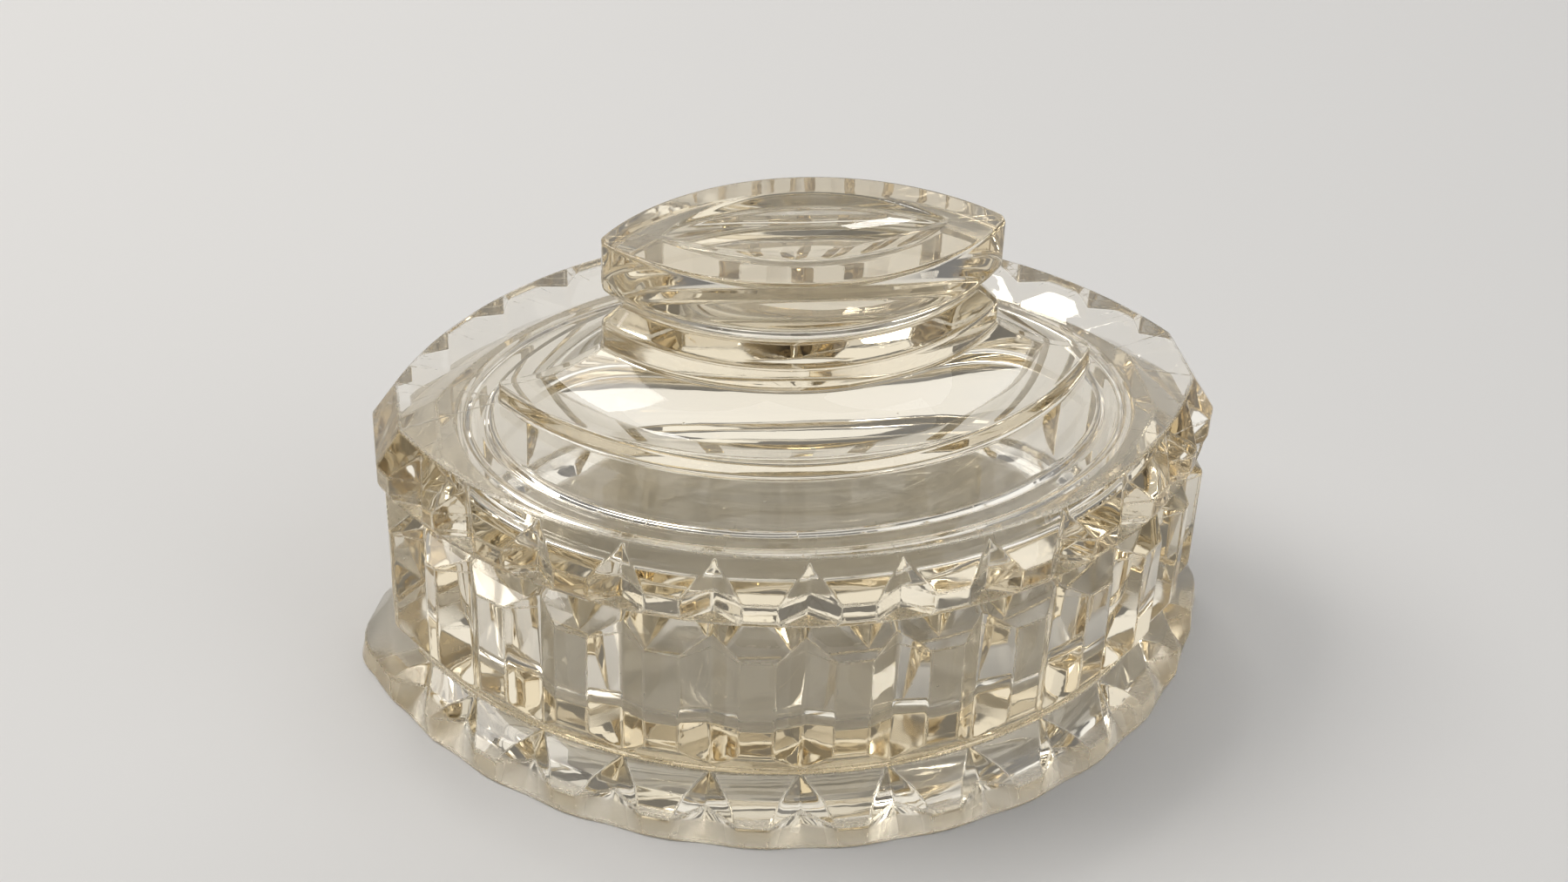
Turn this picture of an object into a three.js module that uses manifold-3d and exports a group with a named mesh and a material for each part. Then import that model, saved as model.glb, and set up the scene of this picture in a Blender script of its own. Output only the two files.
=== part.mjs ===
// Lidded dresser box of pressed and cut clear glass: a pointed oval base with a flared foot, and a lid
// whose two-tier handle is one glass with it. Millimetres, +Z up. The origin is under the middle of the
// base, on the surface that it stands on. The long axis lies along X.

import * as THREE from 'three';
import { mergeVertices } from 'three/addons/utils/BufferGeometryUtils.js';
import Module from 'manifold-3d';

const wasm = await Module();
wasm.setup();

// Plan of the body and of the lid: two arcs of one radius, cut off blunt at both ends
const SIDE_RADIUS = 76.5;
const HALF_WIDTH = 53;
const BODY_END_HALF_WIDTH = 10.4;
const LID_END_HALF_WIDTH = 7.8;

// V flutes cut round the base and round the lid
const FLUTES_PER_SIDE = 12;
const FLUTE_ANGLE_STEP = THREE.MathUtils.degToRad(11.2);
const LAST_FLUTE_ANGLE_STEP = THREE.MathUtils.degToRad(9);
const FLUTE_HALF_WIDTH = 4.7;
const FLUTE_DEPTH = 3.5;

// Base, from the table up
const FOOT_SIDE_SPREAD = 5.2;
const FOOT_END_SPREAD = 4;
const FOOT_END_BULGE = 1.8;
const FOOT_RIM_LEAN = 0.7;
const FOOT_RIM_HEIGHT = 3.9;
const FOOT_BREAK_HEIGHT = 6.2;
const FOOT_BREAK_SHARE = 0.5;
const WAIST_HEIGHT = 8.2;
const WAIST_BAND = 0.9;
const WAIST_INSET = 3.6;
const WALL_FOOT_HEIGHT = 14.3;
const WALL_TOP_HEIGHT = 33.4;
const SHOULDER_INSET = 9.2;
const BASE_HEIGHT = 39.7;

// Notches in the foot, one under each flute
const NOTCH_RIM_DEPTH = 4;
const NOTCH_RIM_HALF_WIDTH = 5.3;
const NOTCH_FOOT_DEPTH = 0.6;
const NOTCH_FOOT_HALF_WIDTH = 5.8;

// Hollow inside the base, an ellipse, by the glass left at its sides and at its ends
const HOLLOW_SIDE_WALL = 12;
const HOLLOW_END_WALL = 12.3;
const HOLLOW_DRAFT = 1.5;
const HOLLOW_FLOOR = 11;
const HOLLOW_CORNER_RADIUS = 6;

// Lid, from the seat up
const SEAT_GAP = 0.3;
const LID_CHAMFER_HEIGHT = 1.2;
const LID_CHAMFER_INSET = 0.5;
const LID_SIDE_HEIGHT = 3.3;
const LID_BEVEL_HEIGHT = 6.1;
const LID_BEVEL_INSET = 4;

// Ring under the lid that drops into the mouth of the base, and the shallow recess inside it
const RING_CLEARANCE = 1.2;
const RING_DEPTH = 2.4;
const RING_WIDTH = 4;
const RING_DRAFT = 0.5;
const RECESS_RISE = 1.2;

// Raised pointed platform on the lid
const PLATFORM_RADIUS = 57.5;
const PLATFORM_HALF_WIDTH = 28.7;
const PLATFORM_HALF_LENGTH = 49.4;
const PLATFORM_STEP = 3.1;
const PLATFORM_RISE = 6.1;

// Two-tier handle with a waist between its tiers and a dish in its top
const HANDLE_RADIUS = 40.5;
const HANDLE_HALF_WIDTH = 17.4;
const HANDLE_HALF_LENGTH = 32.6;
const LOWER_TIER_HEIGHT = 4.2;
const HANDLE_WAIST_HALF_HEIGHT = 3.3;
const HANDLE_WAIST_INSET = 3;
const UPPER_TIER_HEIGHT = 8.5;
const DISH_RADIUS = 30;
const DISH_HALF_WIDTH = 11.7;
const DISH_HALF_LENGTH = 23.6;
const DISH_DEPTH = 4.2;

// Fineness of the curves, and how far a cutter stands proud of what it cuts
const ARC_STEPS = 48;
const SMALL_ARC_STEPS = 32;
const END_STEPS = 6;
const OVAL_STEPS = 72;
const CORNER_STEPS = 5;
const SLOPE_STEPS = 6;
const DISH_STEPS = 5;
const SHARPEST_TIP = 0.4;
const CUT_MARGIN = 2;

const GLASS_COLOUR = 0xe9e3cc;
const GLASS_ROUGHNESS = 0.05;

const ARC_CENTRE = SIDE_RADIUS - HALF_WIDTH;
const BODY_HALF_LENGTH = chordDistance(SIDE_RADIUS, ARC_CENTRE + BODY_END_HALF_WIDTH);
const LID_HALF_LENGTH = chordDistance(SIDE_RADIUS, ARC_CENTRE + LID_END_HALF_WIDTH);
const FOOT_HALF_WIDTH = HALF_WIDTH + FOOT_SIDE_SPREAD;
const FOOT_HALF_LENGTH = BODY_HALF_LENGTH + FOOT_END_SPREAD;
const FOOT_SPREAD = FOOT_SIDE_SPREAD + WAIST_INSET;
const FOOT_RIM_SHARE = 1 - FOOT_RIM_LEAN / FOOT_SPREAD;
const HOLLOW_HALF_WIDTH = HALF_WIDTH - HOLLOW_SIDE_WALL;
const HOLLOW_HALF_LENGTH = BODY_HALF_LENGTH - HOLLOW_END_WALL;

const SEAT_HEIGHT = BASE_HEIGHT + SEAT_GAP;
const LID_SIDE_FOOT = SEAT_HEIGHT + LID_CHAMFER_HEIGHT;
const LID_SIDE_TOP = LID_SIDE_FOOT + LID_SIDE_HEIGHT;
const RIM_HEIGHT = LID_SIDE_TOP + LID_BEVEL_HEIGHT;
const PLATFORM_EDGE = RIM_HEIGHT + PLATFORM_STEP;
const HANDLE_FOOT = PLATFORM_EDGE + PLATFORM_RISE;
const LOWER_TIER_TOP = HANDLE_FOOT + LOWER_TIER_HEIGHT;
const HANDLE_WAIST = LOWER_TIER_TOP + HANDLE_WAIST_HALF_HEIGHT;
const UPPER_TIER_FOOT = HANDLE_WAIST + HANDLE_WAIST_HALF_HEIGHT;
const LID_TOP = UPPER_TIER_FOOT + UPPER_TIER_HEIGHT;

// How far out the middle of a chord of the given half width lies on an arc
function chordDistance(radius, halfWidth) {
  return Math.sqrt(radius * radius - halfWidth * halfWidth);
}

// A pointed oval outline: two arcs whose centres lie across the long axis, closed by blunt ends that
// may bulge. An inset moves the arcs and the ends inwards by the same distance.
function pointedOval({ radius, halfWidth, halfLength, inset = 0, bulge = 0, steps = ARC_STEPS }) {
  const centre = radius - halfWidth;
  const r = radius - inset;
  const end = Math.min(halfLength - inset, chordDistance(r, centre) - SHARPEST_TIP);
  const reach = Math.asin(end / r);
  const half = [];
  for (let i = 0; i <= steps; i += 1) {
    const angle = reach * ((2 * i) / steps - 1);
    half.push(new THREE.Vector2(r * Math.sin(angle), centre - r * Math.cos(angle)));
  }
  const corner = half[steps].y;
  for (let i = 1; i < END_STEPS; i += 1) {
    const across = 1 - (2 * i) / END_STEPS;
    half.push(new THREE.Vector2(end + bulge * (1 - across * across), corner * across));
  }
  return half.concat(half.map((p) => new THREE.Vector2(-p.x, -p.y)));
}

function bodyOutline(inset) {
  return pointedOval({ radius: SIDE_RADIUS, halfWidth: HALF_WIDTH, halfLength: BODY_HALF_LENGTH, inset });
}

function lidOutline(inset) {
  return pointedOval({ radius: SIDE_RADIUS, halfWidth: HALF_WIDTH, halfLength: LID_HALF_LENGTH, inset });
}

// The foot's outline at a share of its spread, from 0 at the waist to 1 at the table. The foot spreads
// most along the middle of its sides.
function footOutline(share) {
  const { lerp } = THREE.MathUtils;
  return pointedOval({
    radius: lerp(SIDE_RADIUS - WAIST_INSET, SIDE_RADIUS, share),
    halfWidth: lerp(HALF_WIDTH - WAIST_INSET, FOOT_HALF_WIDTH, share),
    halfLength: lerp(BODY_HALF_LENGTH - WAIST_INSET, FOOT_HALF_LENGTH, share),
    bulge: FOOT_END_BULGE * share,
  });
}

// How far the foot's edge lies from the centre of the body's arc, in the direction of a flute
function footDistance(angle) {
  return FOOT_SIDE_SPREAD * Math.cos(angle) + chordDistance(SIDE_RADIUS, FOOT_SIDE_SPREAD * Math.sin(angle));
}

// The outline of the hollow, moved inwards by an inset
function roundOval(inset) {
  const oval = new THREE.EllipseCurve(0, 0, HOLLOW_HALF_LENGTH - inset, HOLLOW_HALF_WIDTH - inset);
  return oval.getPoints(OVAL_STEPS).slice(0, -1);
}

// A closed shape lofted through rings of equal count, given from the bottom up as { points, z }. Each
// four-sided patch is split along its shorter diagonal, so that mirrored sides get mirrored facets.
function loft(rings) {
  const count = rings[0].points.length;
  const last = rings.length - 1;
  const positions = [];
  rings.forEach(({ points, z }) => points.forEach((p) => positions.push(p.x, p.y, z)));
  const corner = (n) => new THREE.Vector3().fromArray(positions, 3 * n);
  const index = [];
  for (let k = 0; k < last; k += 1) {
    for (let i = 0; i < count; i += 1) {
      const a = k * count + i;
      const b = k * count + ((i + 1) % count);
      const rising = corner(a).distanceTo(corner(b + count));
      const falling = corner(b).distanceTo(corner(a + count));
      if (rising < falling) {
        index.push(a, b, b + count, a, b + count, a + count);
      } else {
        index.push(a, b, a + count, b, b + count, a + count);
      }
    }
  }
  THREE.ShapeUtils.triangulateShape(rings[0].points, []).forEach(([a, b, c]) => index.push(a, c, b));
  const top = last * count;
  THREE.ShapeUtils.triangulateShape(rings[last].points, []).forEach(([a, b, c]) => {
    index.push(top + a, top + b, top + c);
  });
  const geometry = new THREE.BufferGeometry();
  geometry.setAttribute('position', new THREE.Float32BufferAttribute(positions, 3));
  geometry.setIndex(index);
  return geometry;
}

function solidOf(geometry) {
  const bare = geometry.clone();
  bare.deleteAttribute('normal');
  bare.deleteAttribute('uv');
  const merged = mergeVertices(bare);
  return new wasm.Manifold(new wasm.Mesh({
    numProp: 3,
    vertProperties: new Float32Array(merged.attributes.position.array),
    triVerts: new Uint32Array(merged.index.array),
  }));
}

function meshOf(solid, name) {
  const { vertProperties, triVerts } = solid.getMesh();
  const geometry = new THREE.BufferGeometry();
  geometry.setAttribute('position', new THREE.BufferAttribute(new Float32Array(vertProperties), 3));
  geometry.setIndex(new THREE.BufferAttribute(new Uint32Array(triVerts), 1));
  geometry.computeVertexNormals();
  const material = new THREE.MeshStandardMaterial({
    color: GLASS_COLOUR, roughness: GLASS_ROUGHNESS, metalness: 0,
  });
  const mesh = new THREE.Mesh(geometry, material);
  mesh.name = name;
  return mesh;
}

// Makes something for each flute of both sides from its angle about the centre of its own side's arc.
// The last flute at each end of a side stands nearer to its neighbour.
function eachFlute(make) {
  const last = (FLUTES_PER_SIDE - 1) / 2;
  const made = [];
  for (const side of [1, -1]) {
    for (let place = -last; place <= last; place += 1) {
      const inner = THREE.MathUtils.clamp(place, 1 - last, last - 1);
      made.push(make(side, inner * FLUTE_ANGLE_STEP + (place - inner) * LAST_FLUTE_ANGLE_STEP));
    }
  }
  return made;
}

// Puts a section, given as distances outwards from the arc's centre and along the side, in plan
function sectionAt(side, angle, section) {
  const centre = new THREE.Vector2(0, ARC_CENTRE * side);
  const out = new THREE.Vector2(Math.sin(angle), -Math.cos(angle) * side);
  const along = new THREE.Vector2(-out.y, out.x);
  return section.map(([outwards, sideways]) => (
    centre.clone().addScaledVector(out, outwards).addScaledVector(along, sideways)
  ));
}

// A V section whose sides pass through the two corners of its mouth and then open as far again
function vSection(valley, mouth, halfWidth) {
  const far = SIDE_RADIUS + FOOT_SPREAD;
  const spread = Math.max(halfWidth, (far - valley) * (FLUTE_HALF_WIDTH / FLUTE_DEPTH));
  return [[valley, 0], [mouth, -halfWidth], [far, -spread], [far, spread], [mouth, halfWidth]];
}

// One upright flute between two heights
function fluteCutter(side, angle, bottom, top) {
  const mouth = chordDistance(SIDE_RADIUS, FLUTE_HALF_WIDTH);
  const points = sectionAt(side, angle, vSection(SIDE_RADIUS - FLUTE_DEPTH, mouth, FLUTE_HALF_WIDTH));
  return solidOf(loft([{ points, z: bottom }, { points, z: top }]));
}

// One foot notch. Its valley runs out and down from the waist, and below the foot's rim two more
// facets close it towards the table.
function notchCutter(side, angle) {
  const foot = footDistance(angle);
  const rim = foot - FOOT_RIM_LEAN;
  const rimValley = rim - NOTCH_RIM_DEPTH;
  const waistValley = SIDE_RADIUS - WAIST_INSET;
  const rimMouth = chordDistance(rim, NOTCH_RIM_HALF_WIDTH);
  const footMouth = chordDistance(foot, NOTCH_FOOT_HALF_WIDTH);
  const ring = (z, section) => ({ z, points: sectionAt(side, angle, section) });
  return solidOf(loft([
    ring(0, vSection(foot - NOTCH_FOOT_DEPTH, footMouth, NOTCH_FOOT_HALF_WIDTH)),
    ring(FOOT_RIM_HEIGHT, vSection(rimValley, rimMouth, NOTCH_RIM_HALF_WIDTH)),
    ring(WAIST_HEIGHT, vSection(waistValley, waistValley + rimMouth - rimValley, NOTCH_RIM_HALF_WIDTH)),
  ]));
}

function cutAll(solid, cutters) {
  return cutters.reduce((rest, cutter) => rest.subtract(cutter), solid);
}

// Outside of the base: foot, waist, wall and shoulder
function baseBlank() {
  return solidOf(loft([
    { points: footOutline(1), z: 0 },
    { points: footOutline(FOOT_RIM_SHARE), z: FOOT_RIM_HEIGHT },
    { points: footOutline(FOOT_BREAK_SHARE), z: FOOT_BREAK_HEIGHT },
    { points: footOutline(0), z: WAIST_HEIGHT },
    { points: bodyOutline(WAIST_INSET), z: WAIST_HEIGHT + WAIST_BAND },
    { points: bodyOutline(0), z: WALL_FOOT_HEIGHT },
    { points: bodyOutline(0), z: WALL_TOP_HEIGHT },
    { points: bodyOutline(SHOULDER_INSET), z: BASE_HEIGHT },
  ]));
}

// The hollow, with a rounded corner round its floor and a slight draft
function baseHollow() {
  const rings = [];
  for (let i = 0; i <= CORNER_STEPS; i += 1) {
    const angle = (Math.PI / 2) * (i / CORNER_STEPS);
    rings.push({
      points: roundOval(HOLLOW_DRAFT + HOLLOW_CORNER_RADIUS * (1 - Math.sin(angle))),
      z: HOLLOW_FLOOR + HOLLOW_CORNER_RADIUS * (1 - Math.cos(angle)),
    });
  }
  rings.push({ points: roundOval(0), z: BASE_HEIGHT });
  rings.push({ points: roundOval(0), z: BASE_HEIGHT + CUT_MARGIN });
  return solidOf(loft(rings));
}

function makeBase() {
  const flutes = eachFlute((side, angle) => (
    fluteCutter(side, angle, WAIST_HEIGHT + WAIST_BAND, BASE_HEIGHT + CUT_MARGIN)
  ));
  const solid = cutAll(baseBlank(), flutes.concat(eachFlute(notchCutter)));
  return meshOf(solid.subtract(baseHollow()), 'box_base');
}

// The lid's plate, with its chamfered lower edge, side and bevelled rim
function lidPlate() {
  return solidOf(loft([
    { points: lidOutline(LID_CHAMFER_INSET), z: SEAT_HEIGHT },
    { points: lidOutline(0), z: LID_SIDE_FOOT },
    { points: lidOutline(0), z: LID_SIDE_TOP },
    { points: lidOutline(LID_BEVEL_INSET), z: RIM_HEIGHT },
  ]));
}

// Platform and handle in one sweep of outlines: an upright step, a hollow slope up to the handle's
// foot, the lower tier, the waist and the upper tier
function platformAndHandle() {
  const platform = pointedOval({
    radius: PLATFORM_RADIUS,
    halfWidth: PLATFORM_HALF_WIDTH,
    halfLength: PLATFORM_HALF_LENGTH,
    steps: SMALL_ARC_STEPS,
  });
  const handleOutline = (inset) => pointedOval({
    radius: HANDLE_RADIUS,
    halfWidth: HANDLE_HALF_WIDTH,
    halfLength: HANDLE_HALF_LENGTH,
    inset,
    steps: SMALL_ARC_STEPS,
  });
  const handle = handleOutline(0);
  const rings = [{ points: platform, z: RIM_HEIGHT - CUT_MARGIN }];
  for (let i = 0; i <= SLOPE_STEPS; i += 1) {
    const share = i / SLOPE_STEPS;
    rings.push({
      points: platform.map((p, k) => p.clone().lerp(handle[k], share)),
      z: PLATFORM_EDGE + PLATFORM_RISE * share * share,
    });
  }
  rings.push({ points: handle, z: LOWER_TIER_TOP });
  rings.push({ points: handleOutline(HANDLE_WAIST_INSET), z: HANDLE_WAIST });
  rings.push({ points: handle, z: UPPER_TIER_FOOT });
  rings.push({ points: handle, z: LID_TOP });
  return solidOf(loft(rings));
}

// The dish in the handle's top, a pointed oval that shrinks evenly to its middle
function dish() {
  const mouth = pointedOval({
    radius: DISH_RADIUS,
    halfWidth: DISH_HALF_WIDTH,
    halfLength: DISH_HALF_LENGTH,
    steps: SMALL_ARC_STEPS,
  });
  const rings = [];
  for (let i = 1; i <= DISH_STEPS; i += 1) {
    const share = i / DISH_STEPS;
    rings.push({
      points: mouth.map((p) => p.clone().multiplyScalar(share)),
      z: LID_TOP - DISH_DEPTH * (1 - share * share),
    });
  }
  rings.push({ points: mouth, z: LID_TOP + CUT_MARGIN });
  return solidOf(loft(rings));
}

// The ring under the lid, still filled in
function ringBlank() {
  return solidOf(loft([
    { points: roundOval(RING_CLEARANCE + RING_DRAFT), z: SEAT_HEIGHT - RING_DEPTH },
    { points: roundOval(RING_CLEARANCE), z: SEAT_HEIGHT },
    { points: roundOval(RING_CLEARANCE), z: SEAT_HEIGHT + CUT_MARGIN },
  ]));
}

// The recess inside the ring
function lidRecess() {
  const inside = RING_CLEARANCE + RING_WIDTH;
  return solidOf(loft([
    { points: roundOval(inside - RING_DRAFT), z: SEAT_HEIGHT - RING_DEPTH - CUT_MARGIN },
    { points: roundOval(inside), z: SEAT_HEIGHT + RECESS_RISE },
  ]));
}

function makeLid() {
  const notches = eachFlute((side, angle) => (
    fluteCutter(side, angle, SEAT_HEIGHT - CUT_MARGIN, RIM_HEIGHT + CUT_MARGIN)
  ));
  const solid = cutAll(lidPlate(), notches)
    .add(platformAndHandle())
    .add(ringBlank())
    .subtract(lidRecess())
    .subtract(dish());
  return meshOf(solid, 'lid');
}

const box = new THREE.Group();
box.add(makeBase(), makeLid());

export default box;
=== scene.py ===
"""Dresses a lidded dresser box of pressed and cut glass, and stages it on a pale floor.

The base and the lid are each one casting. Both are swept from rings of points that run from the middle
of the underside, round the outside and over the top to the middle again. Every ring has the same
columns, and the columns follow the edges of the V flutes. A Geometry Nodes tree then presses the flutes
into the blank. Lengths are in metres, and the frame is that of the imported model.
"""

import math

import bpy
import numpy as np
from bpy.props import FloatProperty, FloatVectorProperty, IntProperty, PointerProperty
from bpy.types import Operator, Panel, PropertyGroup
from mathutils import Matrix, Vector


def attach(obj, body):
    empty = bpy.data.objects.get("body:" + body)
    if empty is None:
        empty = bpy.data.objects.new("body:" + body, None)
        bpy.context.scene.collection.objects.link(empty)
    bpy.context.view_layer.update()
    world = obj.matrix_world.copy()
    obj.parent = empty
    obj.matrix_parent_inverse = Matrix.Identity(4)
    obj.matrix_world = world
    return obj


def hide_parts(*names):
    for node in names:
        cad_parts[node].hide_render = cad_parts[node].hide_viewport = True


bl_info = {
    "name": "Glass trinket box",
    "version": (1, 0, 0),
    "blender": (4, 5, 0),
    "location": "View3D > Sidebar > Trinket Box",
    "description": "Builds a cut glass dresser box with a lift-off lid, and a stage to look at it on",
    "category": "Add Mesh",
}

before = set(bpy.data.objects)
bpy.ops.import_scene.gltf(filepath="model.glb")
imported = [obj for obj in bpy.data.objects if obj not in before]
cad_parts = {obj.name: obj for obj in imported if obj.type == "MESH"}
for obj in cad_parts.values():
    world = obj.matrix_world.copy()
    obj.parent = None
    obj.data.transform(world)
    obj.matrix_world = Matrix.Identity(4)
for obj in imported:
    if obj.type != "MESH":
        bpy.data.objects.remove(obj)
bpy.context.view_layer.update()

MM = 0.001


def size(name, description, millimetres):
    """A length that a user may change, given here in millimetres."""
    return FloatProperty(
        name=name, description=description, default=millimetres * MM, unit="LENGTH", precision=4
    )


def turn(name, description, degrees):
    """An angle that a user may change, given here in degrees."""
    return FloatProperty(
        name=name, description=description, default=math.radians(degrees), unit="ROTATION",
        subtype="ANGLE",
    )


def share(name, description, value, top=1.0):
    """A plain number that a user may change."""
    return FloatProperty(name=name, description=description, default=value, min=0.0, max=top)


def colour(name, description, value):
    """A colour that a user may change."""
    return FloatVectorProperty(
        name=name, description=description, default=value, size=3, subtype="COLOR", min=0.0, max=1.0
    )


class PlanSizes(PropertyGroup):
    """Plan of the body and of the lid: two arcs of one radius, cut off blunt at both ends."""

    side_radius: size("Side radius", "Radius of the long sides in plan", 76.5)
    half_width: size("Half width", "From the middle to a long side", 53)
    base_end: size("Base end", "Half the width of a blunt end of the base", 10.4)
    lid_end: size("Lid end", "Half the width of a blunt end of the lid", 7.8)
    corner_radius: size("Corner rounding", "Rounding between a long side and a blunt end", 0.5)


class FluteSizes(PropertyGroup):
    """V flutes cut round the base and the lid."""

    per_side: IntProperty(name="Flutes a side", description="Flutes on one long side", default=12, min=2)
    step: turn("Step", "Angle from one flute to the next", 11.2)
    last_step: turn("Last step", "Angle from the last flute but one to the last", 9)
    half_width: size("Half width", "Half the width of a flute's mouth", 4.7)
    depth: size("Depth", "From the wall to a flute's valley", 3.5)
    mouth_softness: size("Mouth softness", "How far a flute's outer edges are rounded", 0.22)
    valley_softness: size("Valley softness", "How far a flute's valley is rounded", 0.08)


class FootSizes(PropertyGroup):
    """Flared foot of the base and the notches in it."""

    side_spread: size("Side spread", "How far the foot stands out along the sides", 5.2)
    end_spread: size("End spread", "How far the corners of the foot's ends stand out", 4)
    end_bulge: size("End bulge", "How far the foot's ends bulge", 1.8)
    rim_lean: size("Rim lean", "How far the foot's rim leans in", 0.7)
    rim_height: size("Rim height", "Height of the foot's rim", 3.9)
    break_height: size("Break height", "Height where the foot's slope changes", 6.2)
    break_share: share("Break share", "Share of the foot's spread at its break", 0.5)
    waist_height: size("Waist height", "Height of the waist above the foot", 8.2)
    waist_band: size("Waist band", "Height of the band round the waist", 0.9)
    waist_inset: size("Waist inset", "How far the waist is drawn in from the wall", 3.6)
    notch_depth: size("Notch depth", "Depth of a notch at the foot's rim", 4)
    notch_half_width: size("Notch half width", "Half the width of a notch at the rim", 5.3)
    notch_foot_depth: size("Notch depth below", "Depth of a notch at the table", 0.6)
    notch_foot_half_width: size("Notch half width below", "Half the width of a notch at the table", 5.8)


class BaseSizes(PropertyGroup):
    """Wall, shoulder and hollow of the base."""

    wall_foot: size("Wall foot", "Height where the upright wall starts", 14.3)
    wall_top: size("Wall top", "Height where the shoulder starts", 33.4)
    shoulder_inset: size("Shoulder inset", "How far the shoulder runs in", 9.2)
    height: size("Height", "Height of the base", 39.7)
    side_wall: size("Side wall", "Thickness of the glass at the hollow's sides", 12)
    end_wall: size("End wall", "Thickness of the glass at the hollow's ends", 12.3)
    hollow_draft: size("Draft", "How far the hollow narrows towards its floor", 1.5)
    hollow_floor: size("Floor", "Height of the hollow's floor", 11)
    hollow_corner: size("Corner radius", "Radius round the hollow's floor", 6)


class LidSizes(PropertyGroup):
    """Plate, ring and platform of the lid."""

    seat_gap: size("Seat gap", "Gap between the base and the lid", 0.3)
    chamfer_height: size("Chamfer height", "Height of the chamfer under the rim", 1.2)
    chamfer_inset: size("Chamfer inset", "Depth of the chamfer under the rim", 0.5)
    side_height: size("Side height", "Height of the rim's upright side", 3.3)
    bevel_height: size("Bevel height", "Height of the rim's bevel", 6.1)
    bevel_inset: size("Bevel inset", "Depth of the rim's bevel", 4)
    ring_clearance: size("Ring clearance", "Gap between the ring and the mouth of the base", 1.2)
    ring_depth: size("Ring depth", "How far the ring drops below the seat", 2.4)
    ring_width: size("Ring width", "Width of the ring", 4)
    ring_draft: size("Ring draft", "How far the ring's sides lean", 0.5)
    recess_rise: size("Recess rise", "How far the recess rises above the seat", 1.2)
    platform_radius: size("Platform radius", "Radius of the platform's sides in plan", 57.5)
    platform_half_width: size("Platform half width", "From the middle to the platform's side", 28.7)
    platform_half_length: size("Platform half length", "From the middle to the platform's tip", 49.4)
    platform_step: size("Platform step", "Height of the platform's upright edge", 3.1)
    platform_rise: size("Platform rise", "Rise from the platform's edge to the handle's foot", 6.1)


class HandleSizes(PropertyGroup):
    """Two-tier handle and its dish."""

    radius: size("Radius", "Radius of the handle's sides in plan", 40.5)
    half_width: size("Half width", "From the middle to the handle's side", 17.4)
    half_length: size("Half length", "From the middle to the handle's tip", 32.6)
    lower_tier: size("Lower tier", "Height of the lower tier", 4.2)
    waist_half_height: size("Waist half height", "Half the height of the waist", 3.3)
    waist_inset: size("Waist inset", "Depth of the waist", 3)
    upper_tier: size("Upper tier", "Height of the upper tier", 8.5)
    dish_radius: size("Dish radius", "Radius of the dish's sides in plan", 30)
    dish_half_width: size("Dish half width", "From the middle to the dish's side", 11.7)
    dish_half_length: size("Dish half length", "From the middle to the dish's tip", 23.6)
    dish_depth: size("Dish depth", "Depth of the dish", 4.2)


class GlassLook(PropertyGroup):
    """Colour and surface of the glass."""

    tint: colour("Tint", "Colour that each face gives to the light", (0.994, 0.988, 0.970))
    depth_tint: colour("Depth tint", "Colour that the light takes on inside", (0.94, 0.845, 0.625))
    depth_density: share("Depth density", "How fast it takes on that colour, per metre", 15.0, 200.0)


class StageLook(PropertyGroup):
    """Floor, light and camera."""

    floor: colour("Floor", "Colour of the floor", (0.80, 0.79, 0.77))
    surround: colour("Surround", "Colour of the room", (0.18, 0.18, 0.185))
    lens: FloatProperty(name="Lens", description="Focal length of the camera", default=57.95, unit="CAMERA")


def settings():
    return bpy.context.scene.trinket_box


class BoxSettings(PropertyGroup):
    """All sizes and looks of the box."""

    plan: PointerProperty(type=PlanSizes)
    flutes: PointerProperty(type=FluteSizes)
    foot: PointerProperty(type=FootSizes)
    base: PointerProperty(type=BaseSizes)
    lid: PointerProperty(type=LidSizes)
    handle: PointerProperty(type=HandleSizes)
    glass: PointerProperty(type=GlassLook)
    stage: PointerProperty(type=StageLook)


# Columns of a quarter of a ring. Distances are along the outline.
WALL_SHARES = (0.04, 0.1, 0.35, 0.65, 0.9, 0.96, 1.0)
EDGE_SUPPORTS = (0.2 * MM, 0.45 * MM)
CORNER_STOPS = (-0.45 * MM, -0.2 * MM, 0.0, 0.2 * MM, 0.45 * MM)
LAND_STEPS = 4
CORNER_LAND_STEPS = 3
END_STEPS = 5
HALF_LAND_STEPS = 2
NARROWEST_WALL = 0.8 * MM
NARROWEST_LAND = 0.4 * MM
OUTLINE_POINTS = 500
CORNER_POINTS = 9
SHARPEST_TIP = 0.4 * MM

# A ring's numbers at each of its points: its place, the valley and slope of the flute there, and how
# worn and how ground the glass is
PLACE = slice(0, 3)
VALLEY, SLOPE, WEAR, GROUND = range(3, 7)
NUMBERS = 7
NO_FLUTE = 1.0

# Wear on the four columns at a flute's outer edge, from the land inwards, and on those of a corner
EDGE_WEAR = (0.0, 0.6, 1.0, 0.6)
CORNER_WEAR = (0.0, 0.6, 1.0, 0.6, 0.0)

EDGE_TURN = math.radians(38)
MERGE_DISTANCE = 0.5e-6


class Outline:
    """The front right quarter of an outline, from the middle of the side to the middle of the end."""

    def __init__(self, points, corner=None):
        self.points = np.array(points)
        steps = np.linalg.norm(np.diff(self.points, axis=0), axis=1)
        self.along = np.concatenate([[0.0], np.cumsum(steps)])
        self.corner = self.along[corner] if corner is not None else None

    def at(self, along):
        x, y = self.points.T
        return np.stack([np.interp(along, self.along, x), np.interp(along, self.along, y)], 1)


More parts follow.
